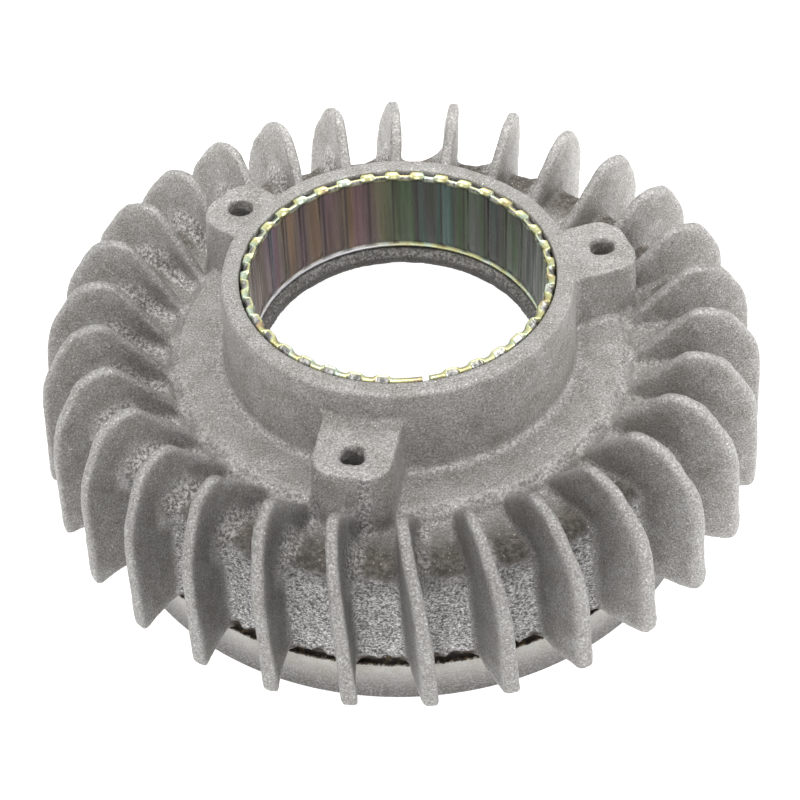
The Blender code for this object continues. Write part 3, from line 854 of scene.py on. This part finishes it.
def strip_section():
    """The strip's closed section and the number of rows up its outer face and over its top.

    A row holds the depth from the outer edge at a land, the depth that a wave adds, and the height. The
    rows go up the outer face, over the shoulder at the top and down the inner face to the thick foot."""
    bottom, top = STRIP_BOTTOM, STRIP_TOP
    section = [(0.0, 0.0, bottom + 0.2), (0.0, 0.0, bottom + 3.0), (0.0, 0.2, bottom + 4.0)]
    section += [(0.0, 0.25, bottom + 5.0 + 2.5 * step) for step in range(6)]
    section += [(0.0, 0.25, top - 2.8), (0.0, 0.30, top - 1.7), (0.0, 0.45, top - 1.1)]
    section += [(0.0, 0.80, top - 0.7), (0.02, 1.15, top - 0.5), (0.1, 1.4, top - 0.2)]
    section += [(0.3, 1.4, top - 0.02), (0.6, 1.35, top), (0.95, 1.15, top - 0.08)]
    section += [(1.35, 0.85, top - 0.3), (1.7, 0.60, top - 0.6)]
    outer_rows = len(section)
    section += [(1.9, 0.45, top - 1.0), (2.0, 0.42, top - 1.4), (2.0, 0.40, top - 2.0)]
    section += [(2.0, 0.40, bottom + 15.0 - 2.5 * step) for step in range(5)]
    section += [(1.95, 0.35, bottom + 3.0), (1.8, 0.25, bottom + 2.2), (1.85, 0.1, bottom + 1.7)]
    section += [(2.05, 0.05, bottom + 1.25), (2.15, 0.0, bottom + 0.8), (2.1, 0.0, bottom + 0.3)]
    section += [(1.8, 0.0, bottom), (0.2, 0.0, bottom)]
    return np.array(section), outer_rows


def strip():
    """Open spring strip. Its waves are open at the top behind rounded shoulders, and end above its foot."""
    turns = strip_turns()
    section, outer_rows = strip_section()
    depth, wave_depth, height = section.T
    count = len(section)
    phase = np.abs(((turns - FIRST_WAVE) / WAVE_PITCH) % 1.0 - 0.5)
    waved = (turns > FIRST_WAVE) * (turns < FIRST_WAVE + WAVES * WAVE_PITCH)
    pocket = fade(0.29, 0.19, phase) * waved
    crest = fade(0.42, 0.16, phase) * waved
    share = np.where(np.arange(count) < outer_rows - 3, pocket[:, None], crest[:, None])
    vertices = swept(STRIP_OUTSIDE - depth - share * wave_depth, height, turns).reshape(-1, 3)
    quads = np.concatenate([sweep_quads(len(turns), count, closed=False), end_caps(len(turns), count)])

    inner = (np.arange(count) >= outer_rows).astype(float)
    above_foot = fade(STRIP_BOTTOM + 1.25, STRIP_BOTTOM + 1.7, height)
    inside = inner * fade(STRIP_TOP - 0.7, STRIP_TOP - 1.4, height) * above_foot
    inside = np.maximum(inside, (1.0 - inner) * fade(STRIP_TOP - 1.5, STRIP_TOP - 2.0, height))
    foot = fade(STRIP_BOTTOM + 1.8, STRIP_BOTTOM + 1.3, height)
    # where the painted reflection in the open pockets goes
    pocket_sheen = (1.0 - inner) * fade(STRIP_TOP - 0.02, STRIP_TOP - 0.3, height)
    pocket_sheen *= fade(STRIP_TOP - 2.0, STRIP_TOP - 1.5, height)
    # where painted shade falls between the waves
    crease_shade = fade(0.42, 0.5, phase) * waved
    marks = {"inside": np.tile(inside, len(turns)), "pocket_sheen": (pocket[:, None] * pocket_sheen[None, :]).ravel(),
             "crease_shade": np.repeat(crease_shade, count), "foot": np.tile(foot, len(turns))}
    return quad_mesh("tolerance_ring_strip", vertices, quads, "tolerance_ring", strip_finish(), marks)


# ---- camera, light and floor ----------------------------------------------------------------
def camera():
    """A long lens that looks down at the wheel at about 45 degrees, turned a little about its own axis."""
    right = Vector((0.99932168, -0.02531974, -0.02674128))
    up = Vector((0.03681151, 0.70745899, 0.70579508))
    forward = Vector((-0.00104781, 0.70630071, -0.70791116))
    eye = bpy.data.objects.new("camera", bpy.data.cameras.new("camera"))
    eye.data.lens = 96.516
    eye.data.sensor_width = 36.0
    eye.data.clip_start = 0.01
    eye.data.clip_end = 20.0
    place = Matrix((right, up, -forward)).transposed().to_4x4()
    place.translation = Vector((0.0, -0.37832, 0.40217))
    eye.matrix_world = place
    bpy.context.scene.collection.objects.link(eye)
    bpy.context.scene.camera = eye


def light():
    world = bpy.data.worlds.new("studio")
    world.use_nodes = True
    background = world.node_tree.nodes["Background"]
    background.inputs["Color"].default_value = (1.0, 0.99, 0.98, 1.0)
    background.inputs["Strength"].default_value = 0.75
    bpy.context.scene.world = world
    # name, place and target in metres, size and power
    lamps = (("top_softbox", (-0.10, 0.15, 1.10), (0.0, 0.0, 0.04), 0.9, 9.0),
             ("front_softbox", (-0.35, -0.95, 0.55), (0.0, 0.0, 0.03), 0.6, 3.5),
             ("right_softbox", (0.95, -0.20, 0.50), (0.0, 0.0, 0.03), 0.6, 4.5))
    for name, at, target, size, power in lamps:
        lamp = bpy.data.lights.new(name, "AREA")
        lamp.shape = "SQUARE"
        lamp.size = size
        lamp.energy = power
        lit = bpy.data.objects.new(name, lamp)
        lit.location = at
        lit.rotation_mode = "QUATERNION"
        lit.rotation_quaternion = (Vector(target) - Vector(at)).to_track_quat("-Z", "Y")
        bpy.context.scene.collection.objects.link(lit)


def pale_floor():
    """A wide pale floor just under the wheel, which gives off light so that it comes out white."""
    n = Nodes("pale_floor")
    n.set(colour=(0.55, 0.55, 0.55), roughness=0.9, specular=0.1)
    n.shader.inputs["Emission Color"].default_value = (1.0, 1.0, 1.0, 1.0)
    n.shader.inputs["Emission Strength"].default_value = 0.85
    half = 3.0
    level = -0.0003
    corners = [(-half, -half, level), (half, -half, level), (half, half, level), (-half, half, level)]
    mesh = bpy.data.meshes.new("floor")
    mesh.from_pydata(corners, [], [(0, 1, 2, 3)])
    mesh.materials.append(n.material)
    floor = bpy.data.objects.new("floor", mesh)
    bpy.context.scene.collection.objects.link(floor)


camera()
light()
pale_floor()
bpy.context.scene.view_settings.view_transform = "Standard"
skin = casting()
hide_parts("fan_casting")
ring = rim()
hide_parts("rim_ring")
spring = strip()
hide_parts("tolerance_ring")

bpy.context.view_layer.update()
